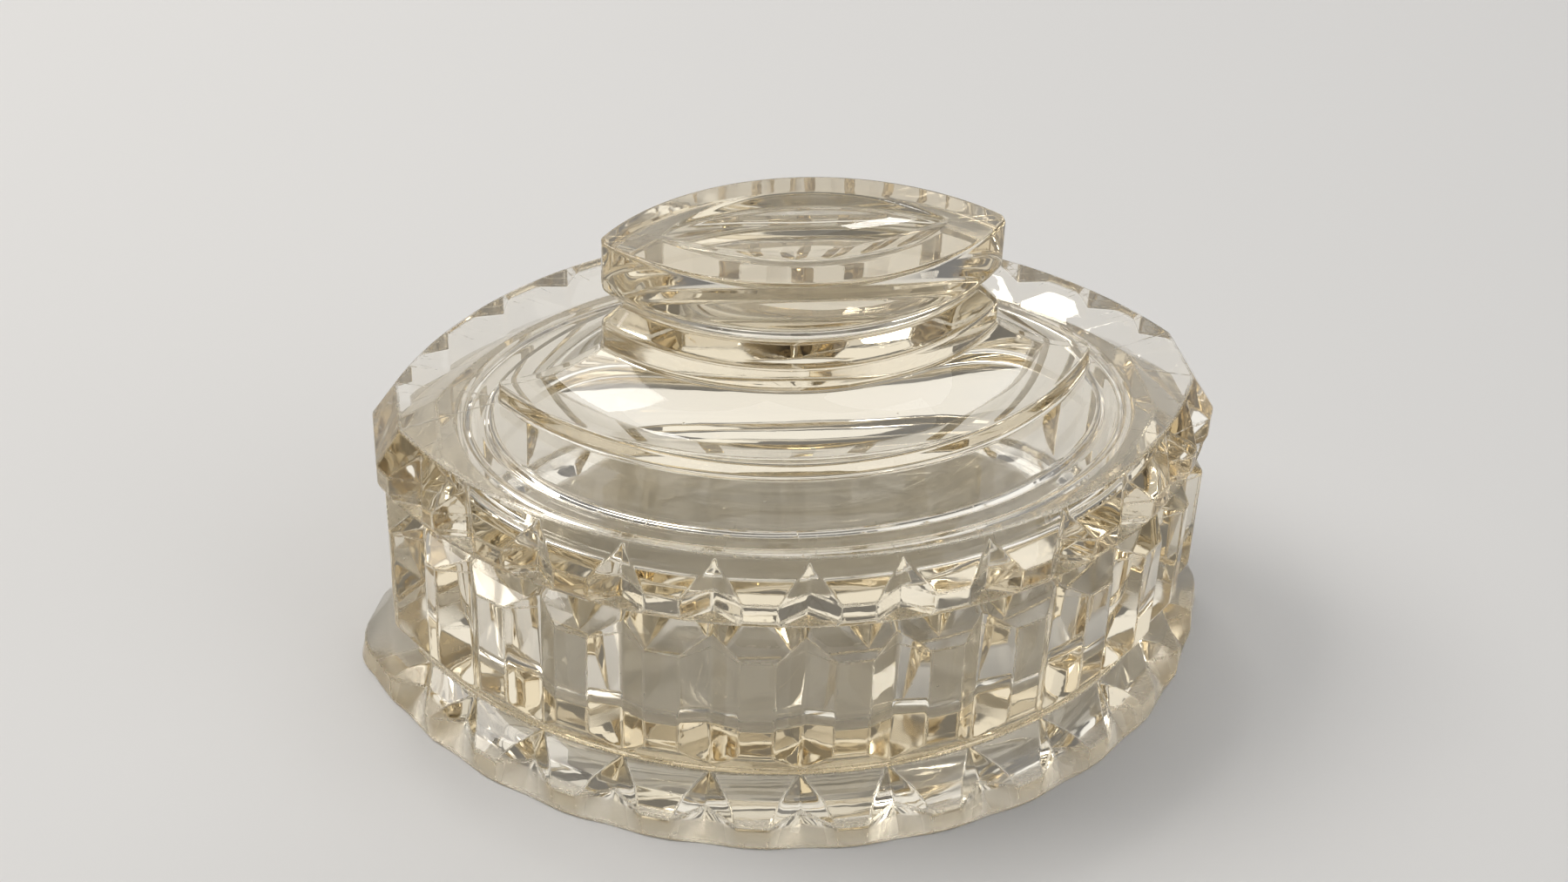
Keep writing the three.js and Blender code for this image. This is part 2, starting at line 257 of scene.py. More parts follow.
def pointed_oval(radius, half_width, half_length, inset=0.0, bulge=0.0, rounding=0.5 * MM):
    """Two arcs whose centres lie across the long axis, closed by blunt ends that may bulge."""
    centre = radius - half_width
    r = radius - inset
    tip = math.sqrt(r * r - centre * centre)
    end = min(half_length - inset, tip - SHARPEST_TIP)
    angles = np.linspace(0.0, math.asin(end / r), OUTLINE_POINTS)
    side = np.stack([r * np.sin(angles), centre - r * np.cos(angles)], 1)
    across = np.linspace(1.0, 0.0, OUTLINE_POINTS // 2)
    blunt = np.stack([end + bulge * (1 - across * across), side[-1, 1] * across], 1)
    reach = min(rounding, -0.4 * side[-1, 1])
    before = side[np.linalg.norm(side - side[-1], axis=1) > reach]
    after = blunt[np.linalg.norm(blunt - side[-1], axis=1) > reach]
    u = np.linspace(0.0, 1.0, CORNER_POINTS)[1:-1, None]
    turn = (1 - u) ** 2 * before[-1] + 2 * u * (1 - u) * side[-1] + u * u * after[0]
    points = np.concatenate([before, turn, after])
    return Outline(points, corner=len(before) + CORNER_POINTS // 2 - 1)


def length_to_end(end):
    """Half the length of a body whose blunt ends have this half width."""
    plan = settings().plan
    return math.sqrt(plan.side_radius ** 2 - (arc_centre() + end) ** 2)


def body_outline(end, inset):
    plan = settings().plan
    return pointed_oval(
        plan.side_radius, plan.half_width, length_to_end(end), inset, rounding=plan.corner_radius
    )


def foot_outline(spread):
    """The foot's outline at a share of its spread, from 0 at the waist to 1 at the table."""
    plan, foot = settings().plan, settings().foot

    def mix(waist, table):
        return waist + (table - waist) * spread

    return pointed_oval(
        mix(plan.side_radius - foot.waist_inset, plan.side_radius),
        plan.half_width + mix(-foot.waist_inset, foot.side_spread),
        length_to_end(plan.base_end) + mix(-foot.waist_inset, foot.end_spread),
        bulge=foot.end_bulge * spread,
    )


def round_oval(inset):
    """The ellipse of the hollow, moved inwards by an inset."""
    plan, base = settings().plan, settings().base
    angles = np.linspace(-math.pi / 2, 0.0, OUTLINE_POINTS)
    x = (length_to_end(plan.base_end) - base.end_wall - inset) * np.cos(angles)
    y = (plan.half_width - base.side_wall - inset) * np.sin(angles)
    x[0] = 0.0
    return Outline(np.stack([x, y], 1))


def flute_angles():
    """Angles of the flutes of one quarter, about the centre of the side's arc."""
    flutes = settings().flutes
    angles = [(i + 0.5) * flutes.step for i in range(flutes.per_side // 2 - 1)]
    return angles + [angles[-1] + flutes.last_step]


def arc_centre():
    plan = settings().plan
    return plan.side_radius - plan.half_width


def out_of(angle):
    """Directions outwards and along the side at an angle about the arc's centre."""
    return np.array([math.sin(angle), -math.cos(angle)]), np.array([math.cos(angle), math.sin(angle)])


def flute_marks(outline, angle, valley, slope):
    """Where along an outline a flute's left mouth, valley and right mouth lie."""
    out, along = out_of(angle)
    local = outline.points - [0.0, arc_centre()]
    outwards, sideways = local @ out, local @ along
    middle = np.interp(0.0, sideways, outline.along)
    room = outwards - valley - slope * np.abs(sideways)
    if np.interp(middle, outline.along, room) <= 0:
        return middle, middle, middle
    left = outline.along < middle
    start = outline.along[left][room[left] <= 0].max(initial=0.0)
    stop = outline.along[~left][room[~left] <= 0].min(initial=outline.along[-1])
    return start, middle, stop


def spread_stops(stops, steps, goal):
    """Adds stops so that the way to goal has this many steps. The goal itself isn't added."""
    start = stops[-1]
    stops.extend(start + (goal - start) * k / steps for k in range(1, steps))


def flute_reaches(outline, valleys, slopes):
    """The middle of each flute along an outline, and how far it reaches before and after that."""
    reaches = []
    for angle, valley, slope in zip(flute_angles(), valleys, slopes):
        start, middle, stop = flute_marks(outline, angle, valley, slope)
        before = max(middle - start, NARROWEST_WALL)
        after = max(stop - middle, NARROWEST_WALL)
        if reaches:
            last, _, last_after = reaches[-1]
            least = last_after + 2 * EDGE_SUPPORTS[1] + NARROWEST_LAND + before
            shortage = max(0.0, least - (middle - last))
            reaches[-1][2] -= shortage / 2
            before -= shortage / 2
        reaches.append([middle, before, after])
    return reaches


def fluted_columns(outline, valleys, slopes):
    """Stops along a quarter that crowd at the edges of its flutes and at its corner."""
    stops = [0.0]
    steps = HALF_LAND_STEPS
    for middle, before, after in flute_reaches(outline, valleys, slopes):
        spread_stops(stops, steps, middle - before - EDGE_SUPPORTS[1])
        stops.extend(middle - before - gap for gap in reversed(EDGE_SUPPORTS))
        stops.extend(middle - before * part for part in reversed(WALL_SHARES))
        stops.append(middle)
        stops.extend(middle + after * part for part in WALL_SHARES)
        stops.extend(middle + after + gap for gap in EDGE_SUPPORTS)
        steps = LAND_STEPS
    corner = max(outline.corner, stops[-1] - 2 * CORNER_STOPS[0])
    spread_stops(stops, CORNER_LAND_STEPS, corner + CORNER_STOPS[0])
    stops.extend(corner + gap for gap in CORNER_STOPS)
    spread_stops(stops, END_STEPS, outline.along[-1])
    stops.append(outline.along[-1])
    return np.array(stops)


def side_count():
    """How many columns a quarter has before those of its corner."""
    flutes = len(flute_angles())
    per_flute = 2 * (len(WALL_SHARES) + len(EDGE_SUPPORTS)) + 1
    lands = HALF_LAND_STEPS - 1 + (flutes - 1) * (LAND_STEPS - 1) + CORNER_LAND_STEPS - 1
    return 1 + flutes * per_flute + lands


def plain_columns(outline):
    """As many stops along an outline without flutes, crowded only at its corner."""
    count = side_count()
    if outline.corner is None:
        return np.linspace(0.0, outline.along[-1], count + len(CORNER_STOPS) + END_STEPS)
    stops = list(np.linspace(0.0, outline.corner + CORNER_STOPS[0], count + 1)[:-1])
    stops.extend(outline.corner + gap for gap in CORNER_STOPS)
    spread_stops(stops, END_STEPS, outline.along[-1])
    stops.append(outline.along[-1])
    return np.array(stops)


def column_flutes():
    """For each column of a quarter, the number of the flute that it belongs to."""
    owners = []
    per_flute = 2 * (len(WALL_SHARES) + len(EDGE_SUPPORTS)) + 1
    flutes = len(flute_angles())
    owners.extend([0] * HALF_LAND_STEPS)
    for k in range(flutes):
        owners.extend([k] * per_flute)
        if k < flutes - 1:
            owners.extend([k] * (LAND_STEPS // 2))
            owners.extend([k + 1] * (LAND_STEPS - 1 - LAND_STEPS // 2))
    owners.extend([flutes - 1] * (CORNER_LAND_STEPS - 1 + len(CORNER_STOPS) + END_STEPS))
    return np.array(owners)


def column_wear(fluted, cornered):
    """How worn each column of a quarter is. Flutes wear at their outer edges."""
    if fluted:
        flute = EDGE_WEAR + (0.0,) * (2 * len(WALL_SHARES) - 3) + EDGE_WEAR[::-1]
        side = flute
        for _ in flute_angles()[1:]:
            side += (0.0,) * (LAND_STEPS - 1) + flute
        side = (0.0,) * HALF_LAND_STEPS + side + (0.0,) * (CORNER_LAND_STEPS - 1)
    else:
        side = (0.0,) * side_count()
    corner = CORNER_WEAR if cornered else (0.0,) * len(CORNER_WEAR)
    return np.array(side + corner + (0.0,) * END_STEPS)


MIRRORS = ((1, 1), (1, -1), (-1, -1), (-1, 1))


def all_round(quarter, mirror_values=False):
    """A whole ring from its front right quarter: points are mirrored, and plain numbers repeated."""
    parts = []
    for sign_x, sign_y in MIRRORS:
        part = quarter * [sign_x, sign_y] if mirror_values else quarter
        part = part if sign_x * sign_y > 0 else part[::-1]
        parts.append(part[:-1])
    return np.concatenate(parts)


def ring_of(outline, z, columns, valleys=None, slopes=None):
    """A ring of points at a height."""
    xy = all_round(outline.at(columns), mirror_values=True)
    ring = np.zeros((len(xy), NUMBERS))
    ring[:, :2] = xy
    ring[:, 2] = z
    ring[:, VALLEY] = NO_FLUTE
    ring[:, WEAR] = all_round(column_wear(valleys is not None, outline.corner is not None))
    if valleys is not None:
        owners = column_flutes()
        ring[:, VALLEY] = all_round(np.array(valleys)[owners])
        ring[:, SLOPE] = all_round(np.array(slopes)[owners])
    return ring


def plain_ring(outline, z):
    return ring_of(outline, z, plain_columns(outline))


def fluted_ring(outline, z, valleys, slopes):
    return ring_of(outline, z, fluted_columns(outline, valleys, slopes), valleys, slopes)


def shrunk_ring(ring, share):
    """A ring drawn in evenly towards the middle, at its own height."""
    inner = ring.copy()
    inner[:, :2] *= share
    inner[:, WEAR] = 0.0
    return inner


def middle_ring(ring):
    return shrunk_ring(ring, 0.0)


FILLET_SHARES = (0.0, 0.35, 0.65, 1.0)
FILLET_LEG = 0.3
SUPPORT_LEG = 0.48
SUPPORT_GAP = 0.3 * MM


def soften(stages):
    """Rounds each ring that comes with a radius. Stages are (ring, radius) in the order of the sweep."""
    rings = [stages[0][0]]
    for (before, _), (ring, radius), (after, _) in zip(stages, stages[1:], stages[2:]):
        if not radius:
            rings.append(ring)
            continue

        def towards(other, wanted, leg_share):
            leg = np.linalg.norm(other[:, PLACE] - ring[:, PLACE], axis=1)
            ratio = np.minimum(wanted / np.maximum(leg, MERGE_DISTANCE), leg_share)
            return ring + (other - ring) * ratio[:, None]

        start = towards(before, radius, FILLET_LEG)
        stop = towards(after, radius, FILLET_LEG)
        rings.append(towards(before, radius + SUPPORT_GAP, SUPPORT_LEG))
        for u in FILLET_SHARES:
            rounded = (1 - u) ** 2 * start + 2 * u * (1 - u) * ring + u * u * stop
            rounded[:, WEAR] = np.maximum(rounded[:, WEAR], min(1.0, SHARP_EDGE / radius))
            rings.append(rounded)
        rings.append(towards(after, radius + SUPPORT_GAP, SUPPORT_LEG))
    rings.append(stages[-1][0])
    return rings


def swept_object(name, rings):
    """A closed mesh through the rings, with what the flute tree needs stored on its points."""
    count = len(rings[0])
    rows = np.concatenate(rings)
    corners = np.arange(count)
    beside = (corners + 1) % count
    faces = []
    for k in range(len(rings) - 1):
        low, high = k * count, (k + 1) * count
        faces.append(np.stack([low + corners, low + beside, high + beside, high + corners], 1))
    mesh = bpy.data.meshes.new(name)
    mesh.from_pydata(rows[:, PLACE].tolist(), [], np.concatenate(faces).tolist())
    owners = column_flutes()
    angles = np.array(flute_angles())[owners]
    out = all_round(np.stack([np.sin(angles), -np.cos(angles)], 1), mirror_values=True)
    centres = all_round(np.stack([0 * angles, 0 * angles + arc_centre()], 1), mirror_values=True)
    for label, plan in (("flute_out", out), ("flute_centre", centres)):
        vectors = np.zeros((count, 3))
        vectors[:, :2] = plan
        values = np.tile(vectors, (len(rings), 1)).astype(np.float32)
        mesh.attributes.new(label, "FLOAT_VECTOR", "POINT").data.foreach_set("vector", values.ravel())
    for label, column in (
        ("flute_valley", VALLEY), ("flute_slope", SLOPE), ("wear", WEAR), ("ground", GROUND),
    ):
        values = rows[:, column].astype(np.float32)
        mesh.attributes.new(label, "FLOAT", "POINT").data.foreach_set("value", values)
    obj = bpy.data.objects.new(name, mesh)
    bpy.context.scene.collection.objects.link(obj)
    return obj


class TreeMaker:
    """Short calls for the nodes of one tree."""

    def __init__(self, tree):
        self.tree = tree

    def node(self, kind, inputs=(), **values):
        made = self.tree.nodes.new(kind)
        for key, value in values.items():
            setattr(made, key, value)
        for key, value in dict(inputs).items():
            if isinstance(value, bpy.types.NodeSocket):
                self.tree.links.new(value, made.inputs[key])
            else:
                made.inputs[key].default_value = value
        return made

    def maths(self, operation, *values):
        return self.node("ShaderNodeMath", enumerate(values), operation=operation).outputs[0]

    def vector(self, operation, *values):
        made = self.node("ShaderNodeVectorMath", enumerate(values), operation=operation)
        return made.outputs["Value" if operation == "DOT_PRODUCT" else "Vector"]

    def scaled(self, vector, factor):
        inputs = {"Vector": vector, "Scale": factor}
        return self.node("ShaderNodeVectorMath", inputs, operation="SCALE").outputs["Vector"]


def flute_tree():
    """A tree that presses V flutes into a blank, each towards its own valley, with softened edges."""
    tree = bpy.data.node_groups.new("Press V flutes", "GeometryNodeTree")
    face = tree.interface
    face.new_socket("Blank", in_out="INPUT", socket_type="NodeSocketGeometry")
    for label in ("Mouth Softness", "Valley Softness"):
        face.new_socket(label, in_out="INPUT", socket_type="NodeSocketFloat")
    face.new_socket("Glass", in_out="INPUT", socket_type="NodeSocketMaterial")
    face.new_socket("Geometry", in_out="OUTPUT", socket_type="NodeSocketGeometry")
    make = TreeMaker(tree)
    given = make.node("NodeGroupInput").outputs

    def stored(label, kind):
        return make.node("GeometryNodeInputNamedAttribute", {"Name": label}, data_type=kind).outputs[0]

    out = stored("flute_out", "FLOAT_VECTOR")
    place = make.node("GeometryNodeInputPosition").outputs[0]
    local = make.vector("SUBTRACT", place, stored("flute_centre", "FLOAT_VECTOR"))
    along = make.vector("CROSS_PRODUCT", (0.0, 0.0, 1.0), out)
    outwards = make.vector("DOT_PRODUCT", local, out)
    sideways = make.vector("DOT_PRODUCT", local, along)
    rise = make.maths("MULTIPLY", sideways, stored("flute_slope", "FLOAT"))
    squared = make.maths("MULTIPLY", rise, rise)
    softness = make.maths("MULTIPLY", given["Valley Softness"], given["Valley Softness"])
    soft_rise = make.maths("SQRT", make.maths("ADD", squared, softness))
    limit = make.maths("ADD", stored("flute_valley", "FLOAT"), soft_rise)
    depth = make.maths("SUBTRACT", outwards, limit)
    pressed = make.maths("SMOOTH_MAX", depth, 0.0, given["Mouth Softness"])
    offset = make.scaled(out, make.maths("MULTIPLY", pressed, -1.0))
    moved = make.node("GeometryNodeSetPosition", {"Geometry": given["Blank"], "Offset": offset})
    merged = make.node(
        "GeometryNodeMergeByDistance", {"Geometry": moved.outputs[0], "Distance": MERGE_DISTANCE}
    )
    real = make.node("GeometryNodeRealizeInstances", {"Geometry": merged.outputs[0]})
    painted = make.node(
        "GeometryNodeSetMaterial", {"Geometry": real.outputs[0], "Material": given["Glass"]}
    )
    make.node("NodeGroupOutput", {"Geometry": painted.outputs[0]})
    return tree


def press_flutes(obj, material):
    """Runs the flute tree on a blank and keeps the result as a plain mesh."""
    flutes = settings().flutes
    tree = bpy.data.node_groups.get("Press V flutes") or flute_tree()
    modifier = obj.modifiers.new("Flutes", "NODES")
    modifier.node_group = tree
    values = {
        "Mouth Softness": flutes.mouth_softness,
        "Valley Softness": flutes.valley_softness,
        "Glass": material,
    }
    for item in tree.interface.items_tree:
        if item.in_out == "INPUT" and item.name in values:
            modifier[item.identifier] = values[item.name]
    depsgraph = bpy.context.evaluated_depsgraph_get()
    mesh = bpy.data.meshes.new_from_object(obj.evaluated_get(depsgraph))
    obj.modifiers.remove(modifier)
    blank = obj.data
    obj.data = mesh
    bpy.data.meshes.remove(blank)
    mesh.name = obj.name
    mesh.materials.clear()
    mesh.materials.append(material)
    for label in ("flute_out", "flute_centre", "flute_valley", "flute_slope"):
        mesh.attributes.remove(mesh.attributes[label])
    mesh.polygons.foreach_set("material_index", [0] * len(mesh.polygons))
    mesh.shade_smooth()
    mesh.set_sharp_from_angle(angle=EDGE_TURN)
    mesh.update()
    return obj


def between(low, high, steps):
    """Numbers strictly between two, in equal steps."""
    return [low + (high - low) * k / steps for k in range(1, steps)]


# The ring that the base stands on is ground flat. Its inner edge, as a share of the foot's outline
GROUND_INSIDE = 0.91
GROUND_BLEND = 0.012

FLUTE_RINGS = 7
FOOT_RINGS = 4
SLOPE_RINGS = 12
DISH_RINGS = 12
CORNER_RINGS = 8

# Radii of the rounded edges. The sharper an edge, the more it wears
SHARP_EDGE = 0.35 * MM
CUT_EDGE = 0.22 * MM
RIM_EDGE = 0.35 * MM
MOULDED_EDGE = 0.6 * MM
SOFT_EDGE = 1.2 * MM


def foot_distance(angle):
    """How far the foot's edge lies from the centre of the body's arc at a flute's angle."""
    plan, foot = settings().plan, settings().foot
    across = foot.side_spread * math.sin(angle)
    return foot.side_spread * math.cos(angle) + math.sqrt(plan.side_radius ** 2 - across ** 2)


def notch_shape(z):
    """Valleys and slopes of the foot's notches at a height up to the waist."""
    plan, foot = settings().plan, settings().foot
    valleys, slopes = [], []
    for angle in flute_angles():
        edge = foot_distance(angle)
        rim = edge - foot.rim_lean
        rim_valley = rim - foot.notch_depth
        rim_mouth = math.sqrt(rim ** 2 - foot.notch_half_width ** 2)
        low_valley = edge - foot.notch_foot_depth
        low_mouth = math.sqrt(edge ** 2 - foot.notch_foot_half_width ** 2)
        low_slope = (low_mouth - low_valley) / foot.notch_foot_half_width
        rim_slope = (rim_mouth - rim_valley) / foot.notch_half_width
        waist_valley = plan.side_radius - foot.waist_inset
        heights = (0.0, foot.rim_height, foot.waist_height)
        valleys.append(np.interp(z, heights, (low_valley, rim_valley, waist_valley)))
        slopes.append(np.interp(z, heights, (low_slope, rim_slope, rim_slope)))
    return valleys, slopes


def flute_shape():
    """Valleys and slopes of the upright flutes."""
    plan, flutes = settings().plan, settings().flutes
    mouth = math.sqrt(plan.side_radius ** 2 - flutes.half_width ** 2)
    valley = plan.side_radius - flutes.depth
    count = len(flute_angles())
    return [valley] * count, [(mouth - valley) / flutes.half_width] * count


def foot_ring(spread, z):
    return fluted_ring(foot_outline(spread), z, *notch_shape(z))


def wall_ring(end, inset, z):
    return fluted_ring(body_outline(end, inset), z, *flute_shape())


def base_stages():
    """Rings of the base with the radius of each edge, from the middle of its underside."""
    plan, foot, base = settings().plan, settings().foot, settings().base
    rim_share = 1 - foot.rim_lean / (foot.side_spread + foot.waist_inset)
    end = plan.base_end
    edge = foot_ring(1.0, 0.0)
    clear, ground = shrunk_ring(edge, GROUND_INSIDE - GROUND_BLEND), shrunk_ring(edge, GROUND_INSIDE)
    for ring in (edge, ground):
        ring[:, GROUND] = 1.0
    stages = [(middle_ring(clear), 0), (clear, 0), (ground, 0), (edge, RIM_EDGE)]
    for t in between(0.0, 1.0, FOOT_RINGS):
        stages.append((foot_ring(1 + (rim_share - 1) * t, foot.rim_height * t), 0))
    stages.append((foot_ring(rim_share, foot.rim_height), RIM_EDGE))
    for t in between(0.0, 1.0, FOOT_RINGS):
        z = foot.rim_height + (foot.break_height - foot.rim_height) * t
        stages.append((foot_ring(rim_share + (foot.break_share - rim_share) * t, z), 0))
    stages.append((foot_ring(foot.break_share, foot.break_height), MOULDED_EDGE))
    for t in between(0.0, 1.0, FOOT_RINGS):
        z = foot.break_height + (foot.waist_height - foot.break_height) * t
        stages.append((foot_ring(foot.break_share * (1 - t), z), 0))
    stages.append((foot_ring(0.0, foot.waist_height), RIM_EDGE))
    waist_top = foot.waist_height + foot.waist_band
    stages.append((wall_ring(end, foot.waist_inset, waist_top), RIM_EDGE))
    for t in between(0.0, 1.0, FLUTE_RINGS):
        z = waist_top + (base.wall_foot - waist_top) * t
        stages.append((wall_ring(end, foot.waist_inset * (1 - t), z), 0))
    stages.append((wall_ring(end, 0.0, base.wall_foot), SOFT_EDGE))
    stages.append((wall_ring(end, 0.0, base.wall_top), CUT_EDGE))
    rise = base.height - base.wall_top
    for inset in between(0.0, settings().flutes.depth, FLUTE_RINGS) + [settings().flutes.depth]:
        z = base.wall_top + rise * inset / base.shoulder_inset
        stages.append((wall_ring(end, inset, z), 0))
    stages.append((wall_ring(end, base.shoulder_inset, base.height), RIM_EDGE))
    return stages + hollow_stages()


def hollow_stages():
    """Rings of the hollow, from its mouth to the middle of its floor."""
    base = settings().base
    stages = [(plain_ring(round_oval(0.0), base.height), MOULDED_EDGE)]
    for k in range(CORNER_RINGS + 1):
        angle = math.pi / 2 * k / CORNER_RINGS
        inset = base.hollow_draft + base.hollow_corner * (1 - math.cos(angle))
        z = base.hollow_floor + base.hollow_corner * (1 - math.sin(angle))
        stages.append((plain_ring(round_oval(inset), z), 0))
    stages.append((middle_ring(stages[-1][0]), 0))
    return stages


def seat_height():
    return settings().base.height + settings().lid.seat_gap


def underside_stages():
    """Rings of the lid's underside, from the middle of its recess to the outside of its ring."""
    lid = settings().lid
    seat = seat_height()
    inside = lid.ring_clearance + lid.ring_width
    ceiling = plain_ring(round_oval(inside), seat + lid.recess_rise)
    return [
        (middle_ring(ceiling), 0),
        (ceiling, MOULDED_EDGE),
        (plain_ring(round_oval(inside - lid.ring_draft), seat - lid.ring_depth), MOULDED_EDGE),
        (plain_ring(round_oval(lid.ring_clearance + lid.ring_draft), seat - lid.ring_depth), MOULDED_EDGE),
        (plain_ring(round_oval(lid.ring_clearance), seat), MOULDED_EDGE),
    ]


def rim_stages():
    """Rings of the lid's fluted rim."""
    plan, lid = settings().plan, settings().lid
    end = plan.lid_end
    side_foot = seat_height() + lid.chamfer_height
    side_top = side_foot + lid.side_height
    depth = settings().flutes.depth
    stages = [
        (wall_ring(end, lid.chamfer_inset, seat_height()), RIM_EDGE),
        (wall_ring(end, 0.0, side_foot), CUT_EDGE),
        (wall_ring(end, 0.0, side_top), CUT_EDGE),
    ]
    for inset in between(0.0, depth, FLUTE_RINGS) + [depth]:
        z = side_top + lid.bevel_height * inset / lid.bevel_inset
        stages.append((wall_ring(end, inset, z), 0))
    stages.append((wall_ring(end, lid.bevel_inset, side_top + lid.bevel_height), RIM_EDGE))
    return stages


def handle_outline(inset):
    handle = settings().handle
    return pointed_oval(handle.radius, handle.half_width, handle.half_length, inset)


def top_stages():
    """Rings of the platform, the handle and the dish."""
    lid, handle = settings().lid, settings().handle
    rim = seat_height() + lid.chamfer_height + lid.side_height + lid.bevel_height
    outline = pointed_oval(lid.platform_radius, lid.platform_half_width, lid.platform_half_length)
    low = plain_ring(outline, rim)
    edge = plain_ring(outline, rim + lid.platform_step)
    foot = plain_ring(handle_outline(0.0), rim + lid.platform_step + lid.platform_rise)
    stages = [(low, MOULDED_EDGE), (edge, MOULDED_EDGE)]
    for t in between(0.0, 1.0, SLOPE_RINGS):
        ring = edge + (foot - edge) * t
        ring[:, 2] = edge[:, 2] + lid.platform_rise * t * t
        stages.append((ring, 0))
    stages.append((foot, MOULDED_EDGE))
    z = foot[0, 2] + handle.lower_tier
    stages.append((plain_ring(handle_outline(0.0), z), MOULDED_EDGE))
    z += handle.waist_half_height
    stages.append((plain_ring(handle_outline(handle.waist_inset), z), MOULDED_EDGE))
    z += handle.waist_half_height
    stages.append((plain_ring(handle_outline(0.0), z), MOULDED_EDGE))
    z += handle.upper_tier
    stages.append((plain_ring(handle_outline(0.0), z), MOULDED_EDGE))
    mouth = plain_ring(pointed_oval(handle.dish_radius, handle.dish_half_width, handle.dish_half_length), z)
    stages.append((mouth, MOULDED_EDGE))
    for t in between(1.0, 0.0, DISH_RINGS):
        ring = mouth.copy()
        ring[:, :2] *= t
        ring[:, 2] = z - handle.dish_depth * (1 - t * t)
        stages.append((ring, 0))
    bottom = middle_ring(mouth)
    bottom[:, 2] = z - handle.dish_depth
    stages.append((bottom, 0))
    return stages


# Sizes of the patterns on the glass
SMEAR_SIZE = 18 * MM
CHIP_SIZE = 1.6 * MM
GRAIN_SIZE = 0.5 * MM
SPECK_PATCH_SIZE = 20 * MM
SPECKS_PER_METRE = 190.0

# Heights of those patterns, as shares of the bump's height
WEAR_HEIGHT = -0.3
GRAIN_HEIGHT = 0.06
SPECK_HEIGHT = 0.3

# The tint leans towards this one where the glass is wavy
UNEVEN_TINT = (0.97, 0.955, 0.91, 1.0)
UNEVEN_SHARE = 0.4


def surface_group():
    """A group that puts out a slightly uneven tint, haze and height for hand-finished glass."""
    name = "Finished glass surface"
    if name in bpy.data.node_groups:
        return bpy.data.node_groups[name]
    tree = bpy.data.node_groups.new(name, "ShaderNodeTree")
    face = tree.interface
    for label, default in (
        ("Wear", 0.0), ("Ground", 0.0), ("Wave Size", 0.03), ("Ripple Size", 0.006), ("Ripple Share", 0.1),
        ("Haze", 0.01), ("Smear Haze", 0.07), ("Speck Haze", 0.4), ("Wear Haze", 0.3), ("Ground Haze", 0.24),
    ):
        socket = face.new_socket(label, in_out="INPUT", socket_type="NodeSocketFloat")
        socket.default_value = default
    tint = face.new_socket("Tint", in_out="INPUT", socket_type="NodeSocketColor")
    tint.default_value = (1.0, 1.0, 1.0, 1.0)
    face.new_socket("Tint", in_out="OUTPUT", socket_type="NodeSocketColor")
    face.new_socket("Roughness", in_out="OUTPUT", socket_type="NodeSocketFloat")
    face.new_socket("Height", in_out="OUTPUT", socket_type="NodeSocketFloat")
    make = TreeMaker(tree)
    given = make.node("NodeGroupInput").outputs
    place = make.node("ShaderNodeTexCoord").outputs["Object"]

    def noise(feature_size, detail=2.0, roughness=0.5):
        inputs = {
            "Vector": place,
            "Scale": make.maths("DIVIDE", 1.0, feature_size),
            "Detail": detail,
            "Roughness": roughness,
        }
        return make.node("ShaderNodeTexNoise", inputs).outputs["Fac"]

    def rise(value, low, high):
        inputs = {"Value": value, "From Min": low, "From Max": high}
        return make.node("ShaderNodeMapRange", inputs, interpolation_type="SMOOTHSTEP").outputs["Result"]

    wave = noise(given["Wave Size"], 1.0)
    ripple = noise(given["Ripple Size"], 2.0)
    smear = rise(noise(SMEAR_SIZE, 4.0, 0.6), 0.5, 0.72)
    chips = noise(CHIP_SIZE, 3.0, 0.6)
    exposed = make.maths("SUBTRACT", given["Wear"], 0.65)
    worn = rise(make.maths("MULTIPLY_ADD", chips, 1.3, exposed), 0.7, 1.15)
    grain = noise(GRAIN_SIZE, 2.0)
    height = make.maths("MULTIPLY_ADD", ripple, given["Ripple Share"], wave)
    height = make.maths("MULTIPLY_ADD", make.maths("MULTIPLY", worn, chips), WEAR_HEIGHT, height)
    ground_grain = make.maths("MULTIPLY", given["Ground"], grain)
    height = make.maths("MULTIPLY_ADD", ground_grain, GRAIN_HEIGHT, height)
    cells = make.node(
        "ShaderNodeTexVoronoi", {"Vector": place, "Scale": SPECKS_PER_METRE, "Randomness": 1.0}
    )
    near = rise(cells.outputs["Distance"], 0.05, 0.02)
    chosen = make.maths("GREATER_THAN", noise(SPECK_PATCH_SIZE, 3.0), 0.56)
    speck = make.maths("MULTIPLY", near, chosen)
    height = make.maths("MULTIPLY_ADD", speck, SPECK_HEIGHT, height)
    haze = make.maths("MULTIPLY_ADD", smear, given["Smear Haze"], given["Haze"])
    haze = make.maths("MULTIPLY_ADD", worn, given["Wear Haze"], haze)
    haze = make.maths("MULTIPLY_ADD", given["Ground"], given["Ground Haze"], haze)
    roughness = make.maths("MULTIPLY_ADD", speck, given["Speck Haze"], haze)
    deeper = make.node(
        "ShaderNodeMix",
        {"Factor": make.maths("MULTIPLY", wave, UNEVEN_SHARE), "A": given["Tint"], "B": UNEVEN_TINT},
        data_type="RGBA",
    )
    make.node("NodeGroupOutput", {
        "Tint": deeper.outputs["Result"],
        "Roughness": roughness,
        "Height": height,
    })
    return tree


GLASS_IOR = 1.52
BUMP_HEIGHT = 0.25 * MM

# Light from the lamps that each face lets through into its shadow, so that this stays light and soft
SHADOW_LIGHT = (0.295, 0.29, 0.28, 1.0)


